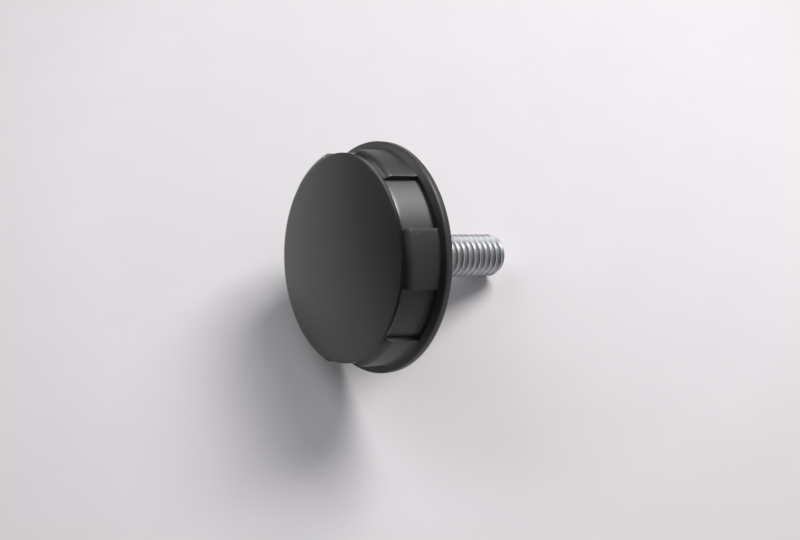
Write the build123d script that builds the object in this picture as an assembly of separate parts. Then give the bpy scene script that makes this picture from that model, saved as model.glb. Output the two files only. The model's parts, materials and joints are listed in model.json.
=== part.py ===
from build123d import *
import math
import os

# Thumb screw: a moulded plastic head on a steel screw, lying on its flange and on the end of the screw.
# Millimetres, +Z up. The floor is Z = 0, and the screw points towards +X and slopes down to the floor.
# Both pieces are modelled upright first, with the back of the flange at Z = 0, the face upwards and the
# screw downwards. Then they are tilted and set down together.

# Flange, the thin round plate on the screw's side of the head
FLANGE_WIDTH = 0.9
FLANGE_EDGE = 0.9
FLANGE_RISE = 0.35
FLANGE_BEVEL = 0.3

# Grip, with raised lobes and shallow flutes in turn
GRIP_DIAMETER = 28.2
GRIP_DRAFT = 1.5
LOBES = 6
FLUTE_ANGLE = 30.0
FLUTE_DEPTH = 0.6
FLUTE_DRAFT = 2.5
FIRST_FLUTE = -9.1
FLUTE_ROOT_BEVEL = 0.4

# Face, a shallow dome that rolls over into the grip
FACE_EDGE_HEIGHT = 6.0
DOME_RISE = 0.9
FACE_ROUNDING = 1.3

# Underside, cored out from the screw's side around a central boss
SKIN = 1.8
BOSS_DIAMETER = 12.0
BOSS_STANDOUT = 0.6
BOSS_CHAMFER = 0.3
WEBS = 6
WEB_THICKNESS = 1.2
CORE_DRAFT = 2.0

# Screw, with an end that the head is moulded around
THREAD_DIAMETER = 6.0
SCREW_LENGTH = 20.0
TIP_CHAMFER = 0.6
THREAD_ENTRY = 0.1
ANCHOR_DIAMETER = 5.3
ANCHOR_LENGTH = 4.8
GROOVE_WIDTH = 1.2
GROOVE_DEPTH = 0.4
ANCHOR_FLAT = 0.4

grip_radius = GRIP_DIAMETER / 2
flange_radius = grip_radius + FLANGE_WIDTH
boss_radius = BOSS_DIAMETER / 2
thread_radius = THREAD_DIAMETER / 2
anchor_radius = ANCHOR_DIAMETER / 2
root_height = FLANGE_EDGE + FLANGE_RISE
dome_height = FACE_EDGE_HEIGHT + DOME_RISE
flute_radius = grip_radius - FLUTE_DEPTH
core_radius = flute_radius - SKIN
core_height = FACE_EDGE_HEIGHT - SKIN
anchor_height = ANCHOR_LENGTH - BOSS_STANDOUT
anchor_foot = THREAD_ENTRY - BOSS_STANDOUT
end_depth = BOSS_STANDOUT + SCREW_LENGTH
lobe_pitch = 360 / LOBES
web_pitch = 360 / WEBS


def lean(angle, height):
    """How far a wall with this draft moves over this height."""
    return height * math.tan(math.radians(angle))


def turned(section, angle=360):
    """A solid turned about Z from a half section that is drawn in X and Y."""
    return revolve(Plane.XZ * section, Axis.Z, angle)


def rounded(section, corner, radius):
    """A section with one of its corners rounded."""
    return fillet(section.vertices().sort_by_distance(corner)[:1], radius)


def bevelled(section, corner, width):
    """A section with one of its corners cut off."""
    return chamfer(section.vertices().sort_by_distance(corner)[:1], width)


def blank():
    """The outer form before its flutes: flange, drafted grip wall and domed face."""
    foot = (grip_radius, root_height)
    rim = (flange_radius, FLANGE_EDGE)
    face_edge = (grip_radius - lean(GRIP_DRAFT, FACE_EDGE_HEIGHT - root_height), FACE_EDGE_HEIGHT)
    middle = (0, dome_height)
    sides = Polyline(middle, (0, 0), (flange_radius, 0), rim, foot, face_edge)
    dome = TangentArc(middle, face_edge, tangent=(1, 0))
    section = make_face([*sides.edges(), dome])
    section = rounded(section, face_edge, FACE_ROUNDING)
    section = bevelled(section, rim, FLANGE_BEVEL)
    return turned(section)


def flute_cutter():
    """What one flute takes away: a drafted floor, a bevelled root on the flange, and radial ends."""
    foot = (flute_radius, root_height)
    outside = flange_radius + FLUTE_DEPTH
    fall = FLANGE_RISE * (outside - grip_radius) / FLANGE_WIDTH
    top = dome_height + FLUTE_DEPTH
    floor_top = flute_radius - lean(FLUTE_DRAFT, top - root_height)
    section = make_face(
        Polyline(
            foot,
            (grip_radius, root_height),
            (outside, root_height - fall),
            (outside, top),
            (floor_top, top),
            close=True,
        )
    )
    section = bevelled(section, foot, FLUTE_ROOT_BEVEL)
    return Rot(0, 0, -FLUTE_ANGLE / 2) * turned(section, FLUTE_ANGLE)


def flutes():
    """All the flute cutters around the grip."""
    cutter = flute_cutter()
    return [Rot(0, 0, FIRST_FLUTE + i * lobe_pitch) * cutter for i in range(LOBES)]


def core():
    """The hollow behind the face, between the grip wall and the boss, with the webs left standing in it."""
    top_outer = core_radius - lean(CORE_DRAFT, core_height)
    top_inner = boss_radius + lean(CORE_DRAFT, core_height)
    section = make_face(
        Polyline(
            (boss_radius, 0),
            (core_radius, 0),
            (top_outer, core_height),
            (top_inner, core_height),
            close=True,
        )
    )
    web = Box(core_radius, WEB_THICKNESS, core_height, align=(Align.MIN, Align.CENTER, Align.MIN))
    webs = [Rot(0, 0, FIRST_FLUTE + (i + 0.5) * web_pitch) * web for i in range(WEBS)]
    return turned(section) - webs


def boss_end():
    """The end of the boss, which stands out of the back and is what bears on the work."""
    end = Pos(0, 0, -BOSS_STANDOUT) * Cylinder(
        boss_radius, BOSS_STANDOUT, align=(Align.CENTER, Align.CENTER, Align.MIN)
    )
    return chamfer(end.edges().group_by(Axis.Z)[0], BOSS_CHAMFER)


def make_screw():
    """The steel screw: thread at its outside diameter, bevelled end, and the anchor inside the boss."""
    groove_foot = anchor_height - (ANCHOR_LENGTH + GROOVE_WIDTH) / 2
    groove_radius = anchor_radius - GROOVE_DEPTH
    section = make_face(
        Polyline(
            (0, -end_depth),
            (thread_radius - TIP_CHAMFER, -end_depth),
            (thread_radius, TIP_CHAMFER - end_depth),
            (thread_radius, anchor_foot),
            (anchor_radius, anchor_foot),
            (anchor_radius, groove_foot),
            (groove_radius, groove_foot),
            (groove_radius, groove_foot + GROOVE_WIDTH),
            (anchor_radius, groove_foot + GROOVE_WIDTH),
            (anchor_radius, anchor_height),
            (0, anchor_height),
            close=True,
        )
    )
    side = Pos(anchor_radius - ANCHOR_FLAT, 0, groove_foot + GROOVE_WIDTH) * Box(
        ANCHOR_DIAMETER, ANCHOR_DIAMETER, ANCHOR_LENGTH, align=(Align.MIN, Align.CENTER, Align.MIN)
    )
    return turned(section) - [side, Rot(0, 0, 180) * side]


def make_head(screw):
    """The moulding: grip, face, flange, hollow back and boss, moulded around the end of the screw."""
    body = blank() - flutes()
    return body - core() + boss_end() - screw


def resting_tilt():
    """The angle between the screw and the floor when the flange's rim and the screw's end both touch it."""
    ends = [
        (thread_radius, end_depth - TIP_CHAMFER),
        (thread_radius - TIP_CHAMFER, end_depth),
    ]
    return min(math.atan2(flange_radius - radius, depth) for radius, depth in ends)


def set_down(pieces):
    """The pieces tilted together, resting on Z = 0 with their common box centred on X and Y."""
    tilt = resting_tilt()
    height = flange_radius * math.cos(tilt)
    turn = Rot(0, math.degrees(tilt) - 90, 0)
    tilted = [Pos(0, 0, height) * turn * piece for piece in pieces]
    middle = Compound(tilted).bounding_box().center()
    return [Pos(-middle.X, -middle.Y, 0) * piece for piece in tilted]


os.makedirs("parts", exist_ok=True)
upright_screw = make_screw()
upright_head = make_head(upright_screw)
head, threaded_stud = set_down([upright_head, upright_screw])
export_step(head, "parts/head.step")
export_step(threaded_stud, "parts/threaded_stud.step")

both = Compound([head, threaded_stud]).bounding_box()
print("tilt", round(math.degrees(resting_tilt()), 3))
print("box", both.min, both.max)
for name, piece in (("head", head), ("threaded_stud", threaded_stud)):
    print(name, "valid", piece.is_valid, "solids", len(piece.solids()), "volume", round(piece.volume, 2))
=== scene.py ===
# %% [markdown]
# # A thumb screw with a lobed head
#
# This lesson dresses a small thumb screw: a black moulded head, as wide as a coin, on a short steel screw.
# The exact solids come in as a fixed frame. Here both pieces are modelled again with Blender's own tools,
# with the soft edges of a moulding and a real thread, and then they get their finishes, light and camera.
# Sizes are in millimetres, and MM carries them to Blender's metres.

# %% Load the frame
import json
import math

import bmesh
import bpy
from mathutils import Matrix, Vector


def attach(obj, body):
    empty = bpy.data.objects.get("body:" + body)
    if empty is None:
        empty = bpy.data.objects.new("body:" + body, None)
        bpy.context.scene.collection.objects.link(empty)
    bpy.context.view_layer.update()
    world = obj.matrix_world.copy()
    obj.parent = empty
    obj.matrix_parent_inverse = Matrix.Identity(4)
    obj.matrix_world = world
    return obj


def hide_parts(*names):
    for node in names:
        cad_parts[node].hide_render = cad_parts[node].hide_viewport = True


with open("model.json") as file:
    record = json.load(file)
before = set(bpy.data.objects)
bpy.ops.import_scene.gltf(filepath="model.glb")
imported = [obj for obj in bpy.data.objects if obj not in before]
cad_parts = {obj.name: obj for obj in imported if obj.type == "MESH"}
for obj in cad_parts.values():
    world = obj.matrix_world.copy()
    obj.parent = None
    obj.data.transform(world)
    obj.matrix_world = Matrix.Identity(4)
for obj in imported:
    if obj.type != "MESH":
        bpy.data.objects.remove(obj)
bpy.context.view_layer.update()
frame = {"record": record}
MM = 0.001

# %% [markdown]
# The head is easiest to model upright, with its flange flat and its face upwards, and to lay down at the end.
# The frame says where that is: the mount called thread has the middle, length and direction of the thread.
# From it come the point at the back of the flange and a matrix that carries upright pieces to their place.

# %% Where the upright pieces go
BOSS_STANDOUT = 0.6

thread_mount = next(mount for mount in frame["record"]["mounts"] if mount["name"] == "thread")
screw_way = Vector(thread_mount["axis"]).normalized()
thread_length = thread_mount["dims"]["length_mm"]
boss_face = Vector(thread_mount["pos_m"]) - screw_way * thread_length / 2 * MM
flange_back = boss_face - screw_way * BOSS_STANDOUT * MM
side_way = Vector((0, 1, 0))
up_way = side_way.cross(-screw_way)
LYING = Matrix.Translation(flange_back) @ Matrix((up_way, side_way, -screw_way)).transposed().to_4x4()
print("back of the flange, mm:", [round(value / MM, 3) for value in flange_back])

# %% [markdown]
# The operators act on whatever is selected and on the object in edit mode. These few helpers keep that in
# hand: one picks an object, one opens it for editing, and one selects its edges by a test.

# %% Helpers for selecting
def pick(piece):
    """Selects this object alone and makes it the active one."""
    if bpy.context.object and bpy.context.object.mode != "OBJECT":
        bpy.ops.object.mode_set(mode="OBJECT")
    bpy.ops.object.select_all(action="DESELECT")
    piece.select_set(True)
    bpy.context.view_layer.objects.active = piece


def open_piece(piece, mode="VERT", action="DESELECT"):
    """Opens this object in edit mode with nothing selected, or with everything."""
    pick(piece)
    bpy.ops.object.mode_set(mode="EDIT")
    bpy.ops.mesh.select_mode(type=mode)
    bpy.ops.mesh.select_all(action=action)


def select_edges(test):
    """Selects the edges of the open object that pass a test, and says how many."""
    mesh = bpy.context.object.data
    edited = bmesh.from_edit_mesh(mesh)
    chosen = [edge for edge in edited.edges if test(edge)]
    for edge in chosen:
        edge.select_set(True)
    edited.select_flush_mode()
    bmesh.update_edit_mesh(mesh)
    return len(chosen)


# %% [markdown]
# A turned form starts as a half section: a chain of points, each with a radius and a height. It is drawn as
# by hand. A plane is merged to one point, moved to the start of the chain, and extruded from point to point.
# Spin then sweeps the chain about Z. Round corners of a chain come from a formula.

# %% Helpers for drawing and spinning
def arc(centre, radius, start, end, count):
    """Points along an arc in a half section, from one angle to another, in degrees."""
    turns = [math.radians(start + (end - start) * step / count) for step in range(count + 1)]
    return [(centre[0] + radius * math.cos(turn), centre[1] + radius * math.sin(turn)) for turn in turns]


def draw_chain(name, points, closed=False):
    """A chain of edges through these points of a half section, drawn by extruding one vertex."""
    bpy.ops.object.select_all(action="DESELECT")
    bpy.ops.mesh.primitive_plane_add(size=MM)
    piece = bpy.context.object
    piece.name = name
    open_piece(piece, action="SELECT")
    bpy.ops.mesh.merge(type="CENTER")
    bpy.ops.transform.translate(value=(points[0][0] * MM, 0, points[0][1] * MM))
    for here, there in zip(points, points[1:]):
        step = ((there[0] - here[0]) * MM, 0, (there[1] - here[1]) * MM)
        bpy.ops.mesh.extrude_region_move(TRANSFORM_OT_translate={"value": step})
    if closed:
        bpy.ops.mesh.select_all(action="SELECT")
        bpy.ops.mesh.edge_face_add()
    bpy.ops.object.mode_set(mode="OBJECT")
    return piece


def spin_piece(piece, degrees, steps):
    """Sweeps a drawn chain about Z. The operator's own angle runs clockwise, so it gets the opposite."""
    open_piece(piece, action="SELECT")
    bpy.ops.mesh.spin(steps=steps, angle=-math.radians(degrees), center=(0, 0, 0), axis=(0, 0, 1))
    bpy.ops.object.mode_set(mode="OBJECT")


# %% [markdown]
# What repeats around the axis is modelled once. Its copies each have a mesh of their own, are turned into
# place and are joined with the first one into a single object.

# %% Helpers for copying and joining
def turn_piece(piece, degrees):
    """Turns an object about Z and keeps the turn in its mesh."""
    pick(piece)
    piece.rotation_euler = (0, 0, math.radians(degrees))
    bpy.ops.object.transform_apply(location=True, rotation=True, scale=True)


def ring_of(piece, count):
    """The object and its copies, spread evenly about Z."""
    ring = [piece]
    for number in range(1, count):
        copy = piece.copy()
        copy.data = piece.data.copy()
        copy.name = f"{piece.name}_{number}"
        bpy.context.scene.collection.objects.link(copy)
        turn_piece(copy, number * 360 / count)
        ring.append(copy)
    return ring


def join_pieces(pieces, name):
    """Joins objects into one."""
    pick(pieces[0])
    for piece in pieces[1:]:
        piece.select_set(True)
    bpy.ops.object.join()
    joined = bpy.context.object
    joined.name = name
    joined.data.name = name
    return joined


# %% [markdown]
# Modifiers, bisects and bevels shape what is spun. After each of them the piece has to be closed, so a last
# helper counts the faces and any edge that isn't shared by exactly two of them.

# %% Helpers for cutting, rounding and closing
CUT_TOLERANCE = 0.0001
MERGE_DISTANCE = 0.002
BEVEL_STEPS = 3
ROUND_PROFILE = 0.5


def apply_modifier(piece, kind, **settings):
    """Adds a modifier with these settings and applies it."""
    pick(piece)
    modifier = piece.modifiers.new(kind.lower(), kind)
    for key, value in settings.items():
        setattr(modifier, key, value)
    bpy.ops.object.modifier_apply(modifier=modifier.name)


def combine(piece, other, operation):
    """Applies a Boolean of a piece with another object, which is then deleted."""
    apply_modifier(piece, "BOOLEAN", object=other, operation=operation, solver="EXACT")
    bpy.data.objects.remove(other)


def cut_off(piece, point, inwards):
    """Cuts a piece off flat at a point, closes it, and keeps the side that a vector points to."""
    open_piece(piece, action="SELECT")
    bpy.ops.mesh.bisect(
        plane_co=Vector(point) * MM,
        plane_no=inwards,
        use_fill=True,
        clear_inner=True,
        threshold=CUT_TOLERANCE * MM,
    )
    bpy.ops.object.mode_set(mode="OBJECT")


def bevel_edges(piece, test, width):
    """Rounds the edges of a piece that pass a test, and says how many they were."""
    open_piece(piece, "EDGE")
    count = select_edges(test)
    bpy.ops.mesh.bevel(
        offset=width * MM,
        segments=BEVEL_STEPS,
        profile=ROUND_PROFILE,
        affect="EDGES",
        clamp_overlap=True,
    )
    bpy.ops.object.mode_set(mode="OBJECT")
    return count


def close_and_face_outwards(piece):
    """Merges doubles, fills open ends and turns every face outwards."""
    open_piece(piece, action="SELECT")
    bpy.ops.mesh.remove_doubles(threshold=MERGE_DISTANCE * MM)
    bpy.ops.mesh.fill_holes(sides=0)
    bpy.ops.mesh.normals_make_consistent(inside=False)
    bpy.ops.object.mode_set(mode="OBJECT")


def tally(piece):
    """How many faces a piece has, and how many edges that aren't shared by exactly two of them."""
    checked = bmesh.new()
    checked.from_mesh(piece.data)
    open_count = sum(not edge.is_manifold for edge in checked.edges)
    checked.free()
    return f"{len(piece.data.polygons)} faces, {open_count} open edges"


# %% [markdown]
# The head is one moulding. Its half section runs from the middle of the domed face, over the rounded edge,
# down the drafted wall and out along the thin flange, round the rim, back along the underside, and up into
# the hole of the screw. It could be a turned blank with its flutes cut out by Booleans. Here two sections
# share all that apart from the wall instead: a lobe has the full radius, and a flute lies a little deeper and
# meets the rounded edge in a crisp corner. Spinning the two in turn gives lobes and flutes with no cutting.

# %% Sizes of the head
GRIP_RADIUS = 14.1
FLANGE_RADIUS = 15.0
FLANGE_EDGE = 0.9
ROOT_HEIGHT = 1.25
FACE_EDGE_HEIGHT = 6.0
DOME_HEIGHT = 6.9
FACE_ROUNDING = 1.3
GRIP_DRAFT = math.radians(1.5)
FLUTE_DEPTH = 0.6
FLUTE_DRAFT = math.radians(2.5)
ROOT_ROUNDING = 0.3
RIM_ROUNDING = 0.3
BACK_ROUNDING = 0.06
BOSS_RADIUS = 6.0
BOSS_CHAMFER = 0.3
BORE_RADIUS = 3.0
THREAD_ENTRY = 0.1
ANCHOR_RADIUS = 2.65
ANCHOR_TOP = 4.2
LOBES = 6
LOBE_ANGLE = 30
FIRST_FLUTE = -9.1

thread_top = THREAD_ENTRY - BOSS_STANDOUT
print("height of the head with its boss, mm:", DOME_HEIGHT + BOSS_STANDOUT)

# %% [markdown]
# The dome of the face is one large arc, as it is cut into a mould. Its radius follows from its rise and from
# the radius of the wall where the two would meet.

# %% Work out the dome
def wall_radius(height):
    """The radius of a lobe's wall at a height."""
    return GRIP_RADIUS - (height - ROOT_HEIGHT) * math.tan(GRIP_DRAFT)


rise = DOME_HEIGHT - FACE_EDGE_HEIGHT
dome_radius = (wall_radius(FACE_EDGE_HEIGHT) ** 2 + rise ** 2) / (2 * rise)
dome_centre = DOME_HEIGHT - dome_radius
print("dome radius, mm:", round(dome_radius, 1))

# %% [markdown]
# The face rolls over into the wall in a rounded edge. A bevel could make it later, but it has to be a true
# arc for the flutes to cut into. It touches both the dome and the wall, so its centre lies inside both by its
# own radius, and the height of that centre is found by halving a range again and again.

# %% Work out the rounded edge
HALVINGS = 60


def inside_wall(height):
    """The radius at which the small arc's centre touches the wall from this height."""
    return wall_radius(height) - FACE_ROUNDING / math.cos(GRIP_DRAFT)


def rounding_height():
    """The height at which the small arc touches the dome as well as the wall."""
    low, high = ROOT_HEIGHT, DOME_HEIGHT
    for _ in range(HALVINGS):
        middle = (low + high) / 2
        if math.hypot(inside_wall(middle), middle - dome_centre) > dome_radius - FACE_ROUNDING:
            high = middle
        else:
            low = middle
    return middle


edge_height = rounding_height()
edge_radius = inside_wall(edge_height)
edge_centre = (edge_radius, edge_height)
dome_meets = math.degrees(math.atan2(edge_height - dome_centre, edge_radius))
print("centre of the rounded edge, mm:", round(edge_radius, 2), round(edge_height, 2))

# %% [markdown]
# A flute's floor lies deeper than the wall, so it cuts the rounded edge partway, in a crisp corner that runs
# above each flute of the real head. Small steps along the arc, up from the wall, find where.

# %% Find the crisp corner above a flute
ANGLE_STEP = 0.01


def floor_radius(height):
    """The radius of a flute's floor at a height."""
    return GRIP_RADIUS - FLUTE_DEPTH - (height - ROOT_HEIGHT) * math.tan(FLUTE_DRAFT)


def outside_floor(degrees):
    """Whether the rounded edge lies outside a flute's floor in this direction from its centre."""
    turn = math.radians(degrees)
    height = edge_height + FACE_ROUNDING * math.sin(turn)
    return edge_radius + FACE_ROUNDING * math.cos(turn) > floor_radius(height)


corner_angle = math.degrees(GRIP_DRAFT)
while outside_floor(corner_angle):
    corner_angle += ANGLE_STEP
print("crisp corner at", round(corner_angle, 1), "degrees")

# %% [markdown]
# Each half section is now put together from its stretches. The roots and the rim are small arcs, rounded as
# a mould is so that it fills and lets go of the plastic, and they need only a few steps.

# %% Draw the two half sections
DOME_STEPS = 16
ROUNDING_STEPS = 6
LOBE_EDGE_STEPS = 8
ROOT_STEPS = 4
RIM_STEPS = 5
BACK_STEPS = 3

slope = math.atan2(ROOT_HEIGHT - FLANGE_EDGE, FLANGE_RADIUS - GRIP_RADIUS)


def dome_points():
    """From the middle of the face to the crisp corner, which both sections share."""
    dome = arc((0, dome_centre), dome_radius, 90, dome_meets, DOME_STEPS)
    edge = arc(edge_centre, FACE_ROUNDING, dome_meets, corner_angle, ROUNDING_STEPS)
    return [(0, DOME_HEIGHT)] + dome[1:] + edge[1:]


def rim_and_back_points():
    """From the flange's front to the hole of the screw, which both sections share."""
    setback = RIM_ROUNDING * math.tan((math.pi / 2 - slope) / 2)
    rim_centre = (FLANGE_RADIUS - RIM_ROUNDING, FLANGE_EDGE - setback)
    rim = arc(rim_centre, RIM_ROUNDING, 90 - math.degrees(slope), 0, RIM_STEPS)
    back_centre = (FLANGE_RADIUS - BACK_ROUNDING, BACK_ROUNDING)
    back = arc(back_centre, BACK_ROUNDING, 0, -90, BACK_STEPS)
    boss = [
        (BOSS_RADIUS, 0),
        (BOSS_RADIUS, BOSS_CHAMFER - BOSS_STANDOUT),
        (BOSS_RADIUS - BOSS_CHAMFER, -BOSS_STANDOUT),
        (BORE_RADIUS, -BOSS_STANDOUT),
        (BORE_RADIUS, thread_top),
        (ANCHOR_RADIUS, thread_top),
        (ANCHOR_RADIUS, ANCHOR_TOP),
        (0, ANCHOR_TOP),
    ]
    return rim + back + boss


def root_points(foot_radius, lean, fall):
    """The rounded foot of a wall with this lean, down to a flange that falls away at this angle."""
    turn = math.pi / 2 - lean - fall
    setback = ROOT_ROUNDING * math.tan(turn / 2)
    start = (foot_radius - setback * math.sin(lean), ROOT_HEIGHT + setback * math.cos(lean))
    centre = (start[0] + ROOT_ROUNDING * math.cos(lean), start[1] + ROOT_ROUNDING * math.sin(lean))
    first = 180 + math.degrees(lean)
    return arc(centre, ROOT_ROUNDING, first, first + math.degrees(turn), ROOT_STEPS)


lobe_edge = arc(edge_centre, FACE_ROUNDING, corner_angle, math.degrees(GRIP_DRAFT), LOBE_EDGE_STEPS)
lobe_root = root_points(GRIP_RADIUS, GRIP_DRAFT, slope)
flute_root = root_points(GRIP_RADIUS - FLUTE_DEPTH, FLUTE_DRAFT, 0)
flute_step = [(GRIP_RADIUS, ROOT_HEIGHT), lobe_root[-1]]
lobe_section = dome_points() + lobe_edge[1:] + lobe_root + rim_and_back_points()
flute_section = dome_points() + flute_root + flute_step + rim_and_back_points()
print("points in a lobe's section:", len(lobe_section), "and in a flute's:", len(flute_section))

# %% [markdown]
# Six lobes and six flutes are now spun from the two sections. One of each is modelled, and the rest are
# copies that are turned into place. Merging doubles joins them, and the open ends between a lobe and a flute
# are filled, each with one flat face in the radial plane, as the real lobes end.

# %% Spin and join the shell of the head
STEPS_PER_LOBE = 16


def sector(name, section, start):
    """One spun sector of the head, from a start angle."""
    piece = draw_chain(name, section)
    spin_piece(piece, LOBE_ANGLE, STEPS_PER_LOBE)
    turn_piece(piece, start)
    return piece


flute = sector("flute", flute_section, FIRST_FLUTE - LOBE_ANGLE / 2)
lobe = sector("lobe", lobe_section, FIRST_FLUTE + LOBE_ANGLE / 2)
head = join_pieces(ring_of(flute, LOBES) + ring_of(lobe, LOBES), "screw_head")
close_and_face_outwards(head)
print("head shell:", tally(head))

# %% [markdown]
# A mould has no knife edges. The ends of the lobes and the crisp corner above each flute get a small
# rounding with the bevel operator, and they are found in code as the edges that stand out by more than
# 35 degrees and lie on the grip. This thin rounding is what catches the light along each lobe's end.

# %% Round the edges of the lobes
EDGE_ROUNDING = 0.16
CREASE = math.radians(35)
HEIGHT_MARGIN = 0.01


def is_grip_edge(edge):
    """Whether an edge stands out and lies on the grip, between the flange and the face."""
    if len(edge.link_faces) != 2 or edge.calc_face_angle_signed() < CREASE:
        return False
    lowest = min(vertex.co.z for vertex in edge.verts) / MM
    innermost = min(vertex.co.xy.length for vertex in edge.verts) / MM
    return lowest > ROOT_HEIGHT - HEIGHT_MARGIN and innermost > GRIP_RADIUS - 2 * FLUTE_DEPTH


print("edges rounded:", bevel_edges(head, is_grip_edge, EDGE_ROUNDING))
print("head:", tally(head))

# %% [markdown]
# Behind the face the head is hollow, to save plastic and to cool evenly: six pockets around the boss, with
# a web between each two. Each could be cut by itself, but one pocket is enough to model. It is a spun ring
# section, trimmed by a bisect on each side where the webs stand. It starts a little below the back, so that
# the cut comes out clean.

# %% Model one pocket
SKIN = 1.8
WEBS = 6
WEB_THICKNESS = 1.2
CORE_DRAFT = math.radians(2)
POCKET_START = -1.0
POCKET_STEPS = 24

core_outer = GRIP_RADIUS - FLUTE_DEPTH - SKIN
core_height = FACE_EDGE_HEIGHT - SKIN
inset = core_height * math.tan(CORE_DRAFT)
half_pitch = 180 / WEBS
pocket_section = [
    (BOSS_RADIUS, POCKET_START),
    (core_outer, POCKET_START),
    (core_outer - inset, core_height),
    (BOSS_RADIUS + inset, core_height),
]
pocket = draw_chain("pocket", pocket_section, closed=True)
spin_piece(pocket, 2 * half_pitch, POCKET_STEPS)
turn_piece(pocket, -half_pitch)
close_and_face_outwards(pocket)
for side in (-1, 1):
    web_angle = math.radians(side * half_pitch)
    inwards = Vector((math.sin(web_angle), -math.cos(web_angle), 0)) * side
    cut_off(pocket, inwards * WEB_THICKNESS / 2, inwards)
close_and_face_outwards(pocket)
print("pocket:", tally(pocket))

# %% [markdown]
# A core in a mould has rounded corners, so the pocket's edges behind the face are bevelled. It is turned
# behind a flute, and six of them are joined and taken out of the head with one Boolean difference.

# %% Round the pocket and take six of them out of the head
POCKET_ROUNDING = 0.35


def is_pocket_edge(edge):
    """Whether an edge of the pocket stands out and reaches into the head."""
    return edge.calc_face_angle_signed() > CREASE and max(vertex.co.z for vertex in edge.verts) > 0


bevel_edges(pocket, is_pocket_edge, POCKET_ROUNDING)
turn_piece(pocket, FIRST_FLUTE)
combine(head, join_pieces(ring_of(pocket, WEBS), "pockets"), "DIFFERENCE")
print("head:", tally(head))

# %% [markdown]
# Long curved faces are shaded smooth, and edges sharper than thirty degrees stay crisp. Then the upright
# piece is carried to its place in the frame, and its place is kept in its mesh.

# %% Smooth the head and lay it down
SMOOTH_UP_TO = math.radians(30)


def smooth_and_lay_down(piece):
    """Shades an upright piece smooth where it is round, and lays it down in the frame."""
    pick(piece)
    bpy.ops.object.shade_smooth_by_angle(angle=SMOOTH_UP_TO)
    piece.matrix_world = LYING
    bpy.ops.object.transform_apply(location=True, rotation=True, scale=True)


smooth_and_lay_down(head)
lowest = min(vertex.co.z for vertex in head.data.vertices)
print("lowest point of the head, mm:", round(lowest / MM, 3))

# %% [markdown]
# The screw has a real M6 thread. It could be rings stacked at the pitch, but those show as rings, so it is a
# true helix: one turn's section, a rounded crest between two flanks, is drawn as a chain, and the Screw
# modifier winds it up a full pitch at each turn, so the turns join. Bisects trim both ends flat, a few spare
# turns away from the ends of the helix, where the cut is clean.

# %% Wind the thread
PITCH = 1.0
CREST_RADIUS = 2.95
THREAD_HEIGHT = 0.61
CREST_WIDTH = 0.16
ROOT_WIDTH = 0.2
EDGE_SOFTENING = 0.05
TIP_CHAMFER = 0.6
TURN_STEPS = 72
SPARE_TURNS = 2.3

crest_low = (PITCH - CREST_WIDTH) / 2
crest_high = (PITCH + CREST_WIDTH) / 2
root_radius = CREST_RADIUS - THREAD_HEIGHT
one_turn = [
    (root_radius, 0),
    (root_radius + EDGE_SOFTENING / 2, ROOT_WIDTH / 2),
    (CREST_RADIUS - EDGE_SOFTENING, crest_low - EDGE_SOFTENING / 2),
    (CREST_RADIUS, crest_low + EDGE_SOFTENING / 2),
    (CREST_RADIUS, crest_high - EDGE_SOFTENING / 2),
    (CREST_RADIUS - EDGE_SOFTENING, crest_high + EDGE_SOFTENING / 2),
    (root_radius + EDGE_SOFTENING / 2, PITCH - ROOT_WIDTH / 2),
    (root_radius, PITCH),
]
thread_end = -BOSS_STANDOUT - thread_length - TIP_CHAMFER
turns = math.ceil((thread_top - thread_end) / PITCH + 2 * SPARE_TURNS)
start = thread_end - SPARE_TURNS * PITCH
screw = draw_chain("threaded_screw", [(radius, height + start) for radius, height in one_turn])
apply_modifier(
    screw,
    "SCREW",
    angle=2 * math.pi,
    screw_offset=PITCH * MM,
    iterations=turns,
    steps=TURN_STEPS,
    render_steps=TURN_STEPS,
)
open_piece(screw, action="SELECT")
bpy.ops.mesh.remove_doubles(threshold=MERGE_DISTANCE * MM)
cut_off(screw, (0, 0, thread_end), (0, 0, 1))
cut_off(screw, (0, 0, thread_top), (0, 0, -1))
close_and_face_outwards(screw)
print("thread:", turns, "turns,", tally(screw))

# %% [markdown]
# Two turned forms finish the screw. An intersection with a plain blank cuts the bevel at the tip across the
# turns, as on the real screw, and a union adds the grooved end that the head is moulded around.

# %% Bevel the tip and add the moulded-in end
GROOVE_RADIUS = 2.25
GROOVE_FOOT = 1.2
GROOVE_TOP = 2.4
ROUND_STEPS = 72
OVERLAP = 0.3
BLANK_MARGIN = 1.0


def turned_form(name, section):
    """A closed form turned about Z from a half section that starts and ends on the axis."""
    piece = draw_chain(name, section)
    spin_piece(piece, 360, ROUND_STEPS)
    close_and_face_outwards(piece)
    return piece


bevel_section = [
    (0, thread_top + BLANK_MARGIN),
    (BORE_RADIUS + BLANK_MARGIN, thread_top + BLANK_MARGIN),
    (BORE_RADIUS + BLANK_MARGIN, thread_end + TIP_CHAMFER + BLANK_MARGIN),
    (CREST_RADIUS - TIP_CHAMFER, thread_end),
    (0, thread_end),
]
anchor_section = [
    (0, ANCHOR_TOP),
    (ANCHOR_RADIUS, ANCHOR_TOP),
    (ANCHOR_RADIUS, GROOVE_TOP),
    (GROOVE_RADIUS, GROOVE_TOP),
    (GROOVE_RADIUS, GROOVE_FOOT),
    (ANCHOR_RADIUS, GROOVE_FOOT),
    (ANCHOR_RADIUS, thread_top),
    (root_radius / 2, thread_top - OVERLAP),
    (0, thread_top - OVERLAP),
]
combine(screw, turned_form("bevel_blank", bevel_section), "INTERSECT")
combine(screw, turned_form("anchor", anchor_section), "UNION")
smooth_and_lay_down(screw)
screw.data.name = screw.name
print("screw:", tally(screw))
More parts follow.
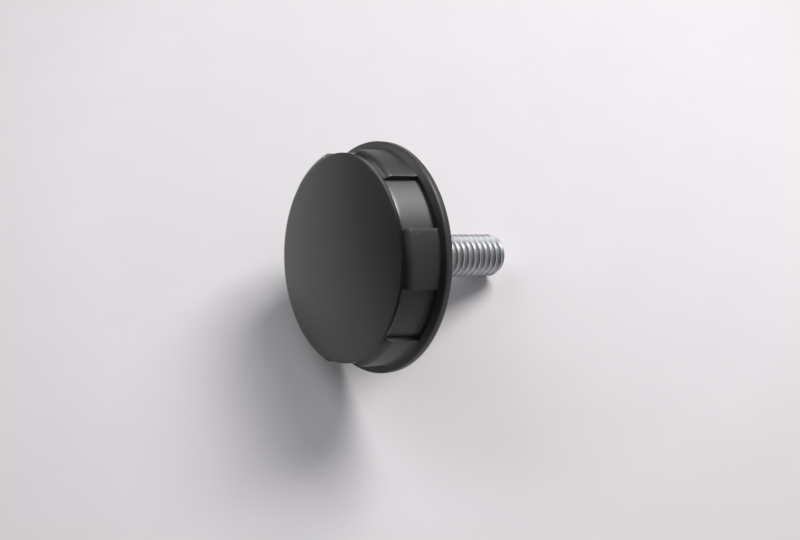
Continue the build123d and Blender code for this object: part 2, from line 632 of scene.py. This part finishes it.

# %% [markdown]
# Both new pieces stand for their solids of the frame, which are hidden, and move with the one body there is.

# %% Tie the pieces to the frame
for piece, node, slot in ((head, "head", "head_plastic"), (screw, "threaded_stud", "screw_steel")):
    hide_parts(node)
    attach(piece, "root")
    print(piece.name, "stands for", node)

# %% [markdown]
# Finishes are worked out from the place on the piece, because a picture would need a flat map of each piece.
# A small class wraps a socket, so that sums and products in Python add their Math nodes, and one method of a
# second class adds every other kind of node. The materials and the room both use them.

# %% Helpers for nodes
class Signal:
    """An output of a node. Sums and products of it add Math nodes."""

    def __init__(self, graph, socket):
        self.graph = graph
        self.socket = socket

    def maths(self, operation, other):
        return self.graph.node("ShaderNodeMath", {"operation": operation}, {0: self, 1: other})

    def __add__(self, other):
        return self.maths("ADD", other)

    def __mul__(self, other):
        return self.maths("MULTIPLY", other)

    __radd__ = __add__
    __rmul__ = __mul__


class Graph:
    """A node tree in the making."""

    def __init__(self, tree):
        self.tree = tree

    def connect(self, socket, value):
        """Links a signal to a socket, or sets the socket to a plain value."""
        if isinstance(value, Signal):
            self.tree.links.new(value.socket, socket)
        else:
            socket.default_value = value

    def node(self, kind, settings=None, sockets=None, output=0):
        """Adds a node of this type, with its settings first and its sockets after, and gives an output."""
        node = self.tree.nodes.new(kind)
        for key, value in (settings or {}).items():
            setattr(node, key, value)
        for key, value in (sockets or {}).items():
            self.connect(node.inputs[key], value)
        return Signal(self, node.outputs[output])

    def ramp(self, value, low, high, start=0.0, end=1.0):
        """One level up to a value, another from a second value on, and straight between them."""
        sockets = {"Value": value, "From Min": low, "From Max": high, "To Min": start, "To Max": end}
        return self.node("ShaderNodeMapRange", {"clamp": True}, sockets)


# %% [markdown]
# A finish is a graph with a Principled shader at its end. It knows a few things that a surface is made of:
# noise of a size, a patch around a point, a blend of two colours, and a bump.

# %% Helpers for finishes
class Finish(Graph):
    """A material in the making."""

    def __init__(self, name, **constants):
        self.material = bpy.data.materials.new(name)
        self.material.use_nodes = True
        super().__init__(self.material.node_tree)
        self.shader = self.tree.nodes["Principled BSDF"]
        for socket, value in constants.items():
            self.feed(socket.replace("_", " "), value)
        self.place = self.node("ShaderNodeTexCoord", output="Object")

    def feed(self, name, value):
        """Sets or links one of the shader's own sockets."""
        self.connect(self.shader.inputs[name], value)

    def noise(self, size, detail, roughness=0.5):
        """Noise with features of about this size."""
        sockets = {"Vector": self.place, "Scale": 1 / (size * MM), "Detail": detail, "Roughness": roughness}
        return self.node("ShaderNodeTexNoise", None, sockets)

    def near(self, point, radius, softness):
        """1 around a point, falling to 0 at a radius, over this share of the radius."""
        sockets = {0: self.place, 1: [value * MM for value in point]}
        distance = self.node("ShaderNodeVectorMath", {"operation": "DISTANCE"}, sockets, "Value")
        return self.ramp(distance, radius * MM, radius * (1 - softness) * MM)

    def blend(self, factor, first, second):
        """Two colours mixed by a factor."""
        sockets = {0: factor, 6: first, 7: second}
        return self.node("ShaderNodeMix", {"data_type": "RGBA"}, sockets, output=2)

    def bump(self, height, strength, depth):
        """A bump of a depth on the shader's normal."""
        sockets = {"Height": height, "Strength": strength, "Distance": depth * MM}
        self.feed("Normal", self.node("ShaderNodeBump", None, sockets))

    def onto(self, piece):
        """Makes this the piece's only material, and says how many nodes it has."""
        piece.data.materials.clear()
        piece.data.materials.append(self.material)
        print(self.material.name, "has", len(self.tree.nodes), "nodes")


def grey(level):
    """An opaque grey."""
    return (level, level, level, 1)


# %% [markdown]
# The head is black thermoplastic with the fine matt skin of a spark-eroded mould. One black with one gloss
# would look like rubber, so the black and the gloss vary in soft clouds where fingers have rubbed the skin,
# the grain is a low bump, and four specks of dust lie on it. The walls of the grip are duller than the face.
# They are told from it by their distance to a point far behind the head on its axis: a ball that large is
# nearly flat where it meets the head, and it ends at the height where the face begins.

# %% Finish of the head
BLACKS = ((0.0165, 0.0150, 0.0165, 1), (0.0215, 0.0192, 0.0205, 1))
CLOUD_SIZE = 4.0
GRAIN_SIZE = 0.22
GRAIN_DEPTH = 0.009
FACE_ROUGHNESS = 0.24
CLOUD_ROUGHNESS = 0.05
WALL_ROUGHNESS = 0.2
FAR_BEHIND = 400.0
WALL_TOP = 6.1
WALL_SOFTNESS = 0.001
DUST = ((-10.57, -2.68, 14.29), (-12.14, -6.39, 11.12), (-8.96, -2.97, 17.01), (-0.61, -6.23, 25.77))
DUST_RADIUS = 0.17
DUST_SHADE = 0.06

black_plastic = Finish("matt_black_plastic", IOR=1.5, Specular_IOR_Level=0.7)
clouds = black_plastic.noise(CLOUD_SIZE, detail=3.0)
grain = black_plastic.noise(GRAIN_SIZE, detail=3.0, roughness=0.6)
skin = black_plastic.blend(clouds, *BLACKS)
specks = sum(black_plastic.near(point, DUST_RADIUS, softness=0.5) for point in DUST)
ball_middle = flange_back / MM + screw_way * FAR_BEHIND
walls = black_plastic.near(ball_middle, FAR_BEHIND + WALL_TOP, WALL_SOFTNESS)
black_plastic.feed("Base Color", black_plastic.blend(specks, skin, grey(DUST_SHADE)))
black_plastic.feed("Roughness", FACE_ROUGHNESS + clouds * CLOUD_ROUGHNESS + walls * WALL_ROUGHNESS)
black_plastic.bump(grain, strength=0.5, depth=GRAIN_DEPTH)
black_plastic.onto(head)

# %% [markdown]
# The screw is zinc plated steel: bright and a little blue in the light. A mirror would look like chrome, so
# its gloss and its colour vary in small patches, and a very low bump stands for the unevenness of plating.

# %% Finish of the screw
ZINCS = ((0.56, 0.57, 0.58, 1), (0.66, 0.67, 0.69, 1))
PATCH_SIZE = 1.2
MARK_SIZE = 0.12
MARK_DEPTH = 0.006
ZINC_ROUGHNESS = 0.33
PATCH_ROUGHNESS = 0.12

bright_zinc = Finish("bright_zinc", Metallic=1.0)
patches = bright_zinc.noise(PATCH_SIZE, detail=3.0)
marks = bright_zinc.noise(MARK_SIZE, detail=2.0)
bright_zinc.feed("Base Color", bright_zinc.blend(patches, *ZINCS))
bright_zinc.feed("Roughness", ZINC_ROUGHNESS + patches * PATCH_ROUGHNESS)
bright_zinc.bump(marks, strength=0.3, depth=MARK_DEPTH)
bright_zinc.onto(screw)

# %% [markdown]
# The thumb screw lies on a sheet of pale matt paper, which is a large grid that is smooth and still, with the
# faint mottling of paper in its colour. Beyond a hand's breadth the colour of the sheet is painted darker,
# softly: painted shade, as on a table outside the light of a window. The satin face mirrors that part, and
# even white would be too bright.

# %% Lay the paper
FLOOR_SIZE = 8.0
FLOOR_CELLS = 4
PAPERS = ((0.765, 0.745, 0.775, 1), (0.805, 0.785, 0.815, 1))
MOTTLING_SIZE = 9.0
FIBRE_SIZE = 0.5
FIBRE_DEPTH = 0.01
LIT_MIDDLE = (15, 20, 0)
LIT_RADIUS = 220
LIT_SOFTNESS = 0.75
FAR_SHADE = 0.3

bpy.ops.object.select_all(action="DESELECT")
bpy.ops.mesh.primitive_grid_add(x_subdivisions=FLOOR_CELLS, y_subdivisions=FLOOR_CELLS, size=FLOOR_SIZE)
floor = bpy.context.object
floor.name = "paper"
pale_paper = Finish("pale_paper", Roughness=0.75)
mottling = pale_paper.noise(MOTTLING_SIZE, detail=4.0)
fibres = pale_paper.noise(FIBRE_SIZE, detail=3.0)
sheet = pale_paper.blend(mottling, *PAPERS)
# Painted pool of light: inside it the paper keeps its colour, outside it the colour is painted darker as
# painted shade.
painted_light_pool = pale_paper.near(LIT_MIDDLE, LIT_RADIUS, LIT_SOFTNESS)
pale_paper.feed("Base Color", pale_paper.blend(painted_light_pool, grey(FAR_SHADE), sheet))
pale_paper.bump(fibres, strength=0.3, depth=FIBRE_DEPTH)
pale_paper.onto(floor)
print("paper, m:", FLOOR_SIZE)

# %% [markdown]
# Soft daylight comes from a window behind the screw on the right, with weaker light from behind on the left,
# and a faint bright strip of wall low on the left. Each is a flat lamp that fills a given angle as seen from
# the screw, because that angle is what makes a shadow's edge soft. Its power follows from how bright it alone
# should leave white paper, so that the lamps and the room add up to about one.

# %% Light
WARM = (1.0, 0.98, 0.97)
COOL = (0.97, 0.98, 1.0)
WINDOW = {"azimuth": 28, "elevation": 43, "distance": 0.6, "half_width": 15, "half_height": 9}
SIDE_LIGHT = {"azimuth": 108, "elevation": 42, "distance": 1.0, "half_width": 13.5, "half_height": 13.5}
FAR_WALL = {"azimuth": 135, "elevation": 20, "distance": 0.6, "half_width": 16, "half_height": 9}


def area_lamp(name, level, colour, azimuth, elevation, distance, half_width, half_height):
    """A flat lamp aimed at the middle, with its angles in degrees and its distance in metres."""
    lamp = bpy.data.lights.new(name, "AREA")
    lamp.shape = "RECTANGLE"
    lamp.size = 2 * distance * math.tan(math.radians(half_width))
    lamp.size_y = 2 * distance * math.tan(math.radians(half_height))
    lamp.color = colour
    up = math.sin(math.radians(elevation))
    out = math.cos(math.radians(elevation))
    lamp.energy = level * math.pi * math.pi * distance ** 2 / up
    way = Vector((out * math.cos(math.radians(azimuth)), out * math.sin(math.radians(azimuth)), up))
    held = bpy.data.objects.new(name, lamp)
    held.location = way * distance
    held.rotation_euler = way.to_track_quat("Z", "Y").to_euler()
    bpy.context.scene.collection.objects.link(held)
    print(name, "watts:", round(lamp.energy, 2))


area_lamp("window", level=0.66, colour=WARM, **WINDOW)
area_lamp("side_light", level=0.115, colour=COOL, **SIDE_LIGHT)
area_lamp("far_wall", level=0.06, colour=COOL, **FAR_WALL)

# %% [markdown]
# The room itself is dim near the horizon, so that the satin face has something dark to mirror. It could be
# one even grey, but then the face would look flat. So it grows brighter towards the ceiling, by the height
# of the direction looked in, and towards the right front, by how far that direction agrees with ROOM_SIDE.

# %% The room
CEILING_FROM = 0.72
CEILING_START = 0.02
CEILING_LEVEL = 0.48
ROOM_SIDE = (0.82, -0.57, 0.0)
ROOM_SIDE_FROM = 0.3
ROOM_SIDE_LEVEL = 0.45

world = bpy.data.worlds.new("room")
bpy.context.scene.world = world
world.use_nodes = True
room = Graph(world.node_tree)
direction = room.node("ShaderNodeTexCoord", output="Generated")
height = room.node("ShaderNodeSeparateXYZ", None, {0: direction}, "Z")
ceiling = room.ramp(height, CEILING_FROM, 1.0, CEILING_START, CEILING_LEVEL)
towards_side = {0: direction, 1: ROOM_SIDE}
sideways = room.node("ShaderNodeVectorMath", {"operation": "DOT_PRODUCT"}, towards_side, "Value")
side_glow = room.ramp(sideways, ROOM_SIDE_FROM, 1.0, 0.0, ROOM_SIDE_LEVEL)
room.connect(world.node_tree.nodes["Background"].inputs["Color"], ceiling + side_glow)
bpy.context.scene.view_settings.view_transform = "Standard"
print("room levels:", CEILING_LEVEL, "overhead and", ROOM_SIDE_LEVEL, "at the right front")

# %% [markdown]
# The camera looks down steeply from the side of the face. Its place and its two angles were solved from the
# outlines of the flange and of the screw, so the rebuilt piece fills the same part of the picture.

# %% Camera
CAMERA_PLACE = Vector((-27.598, -63.983, 123.621))
LOOKS_DOWN = 59.05
HEADING = -23.16
LENS = 45
SENSOR = 36
NEAREST = 10

camera_data = bpy.data.cameras.new("camera")
camera_data.lens = LENS
camera_data.sensor_width = SENSOR
camera_data.clip_start = NEAREST * MM
camera = bpy.data.objects.new("camera", camera_data)
camera.location = CAMERA_PLACE * MM
camera.rotation_euler = (math.radians(90 - LOOKS_DOWN), 0, math.radians(HEADING))
bpy.context.scene.collection.objects.link(camera)
bpy.context.scene.camera = camera
print("camera, mm:", [round(value / MM, 1) for value in camera.location])
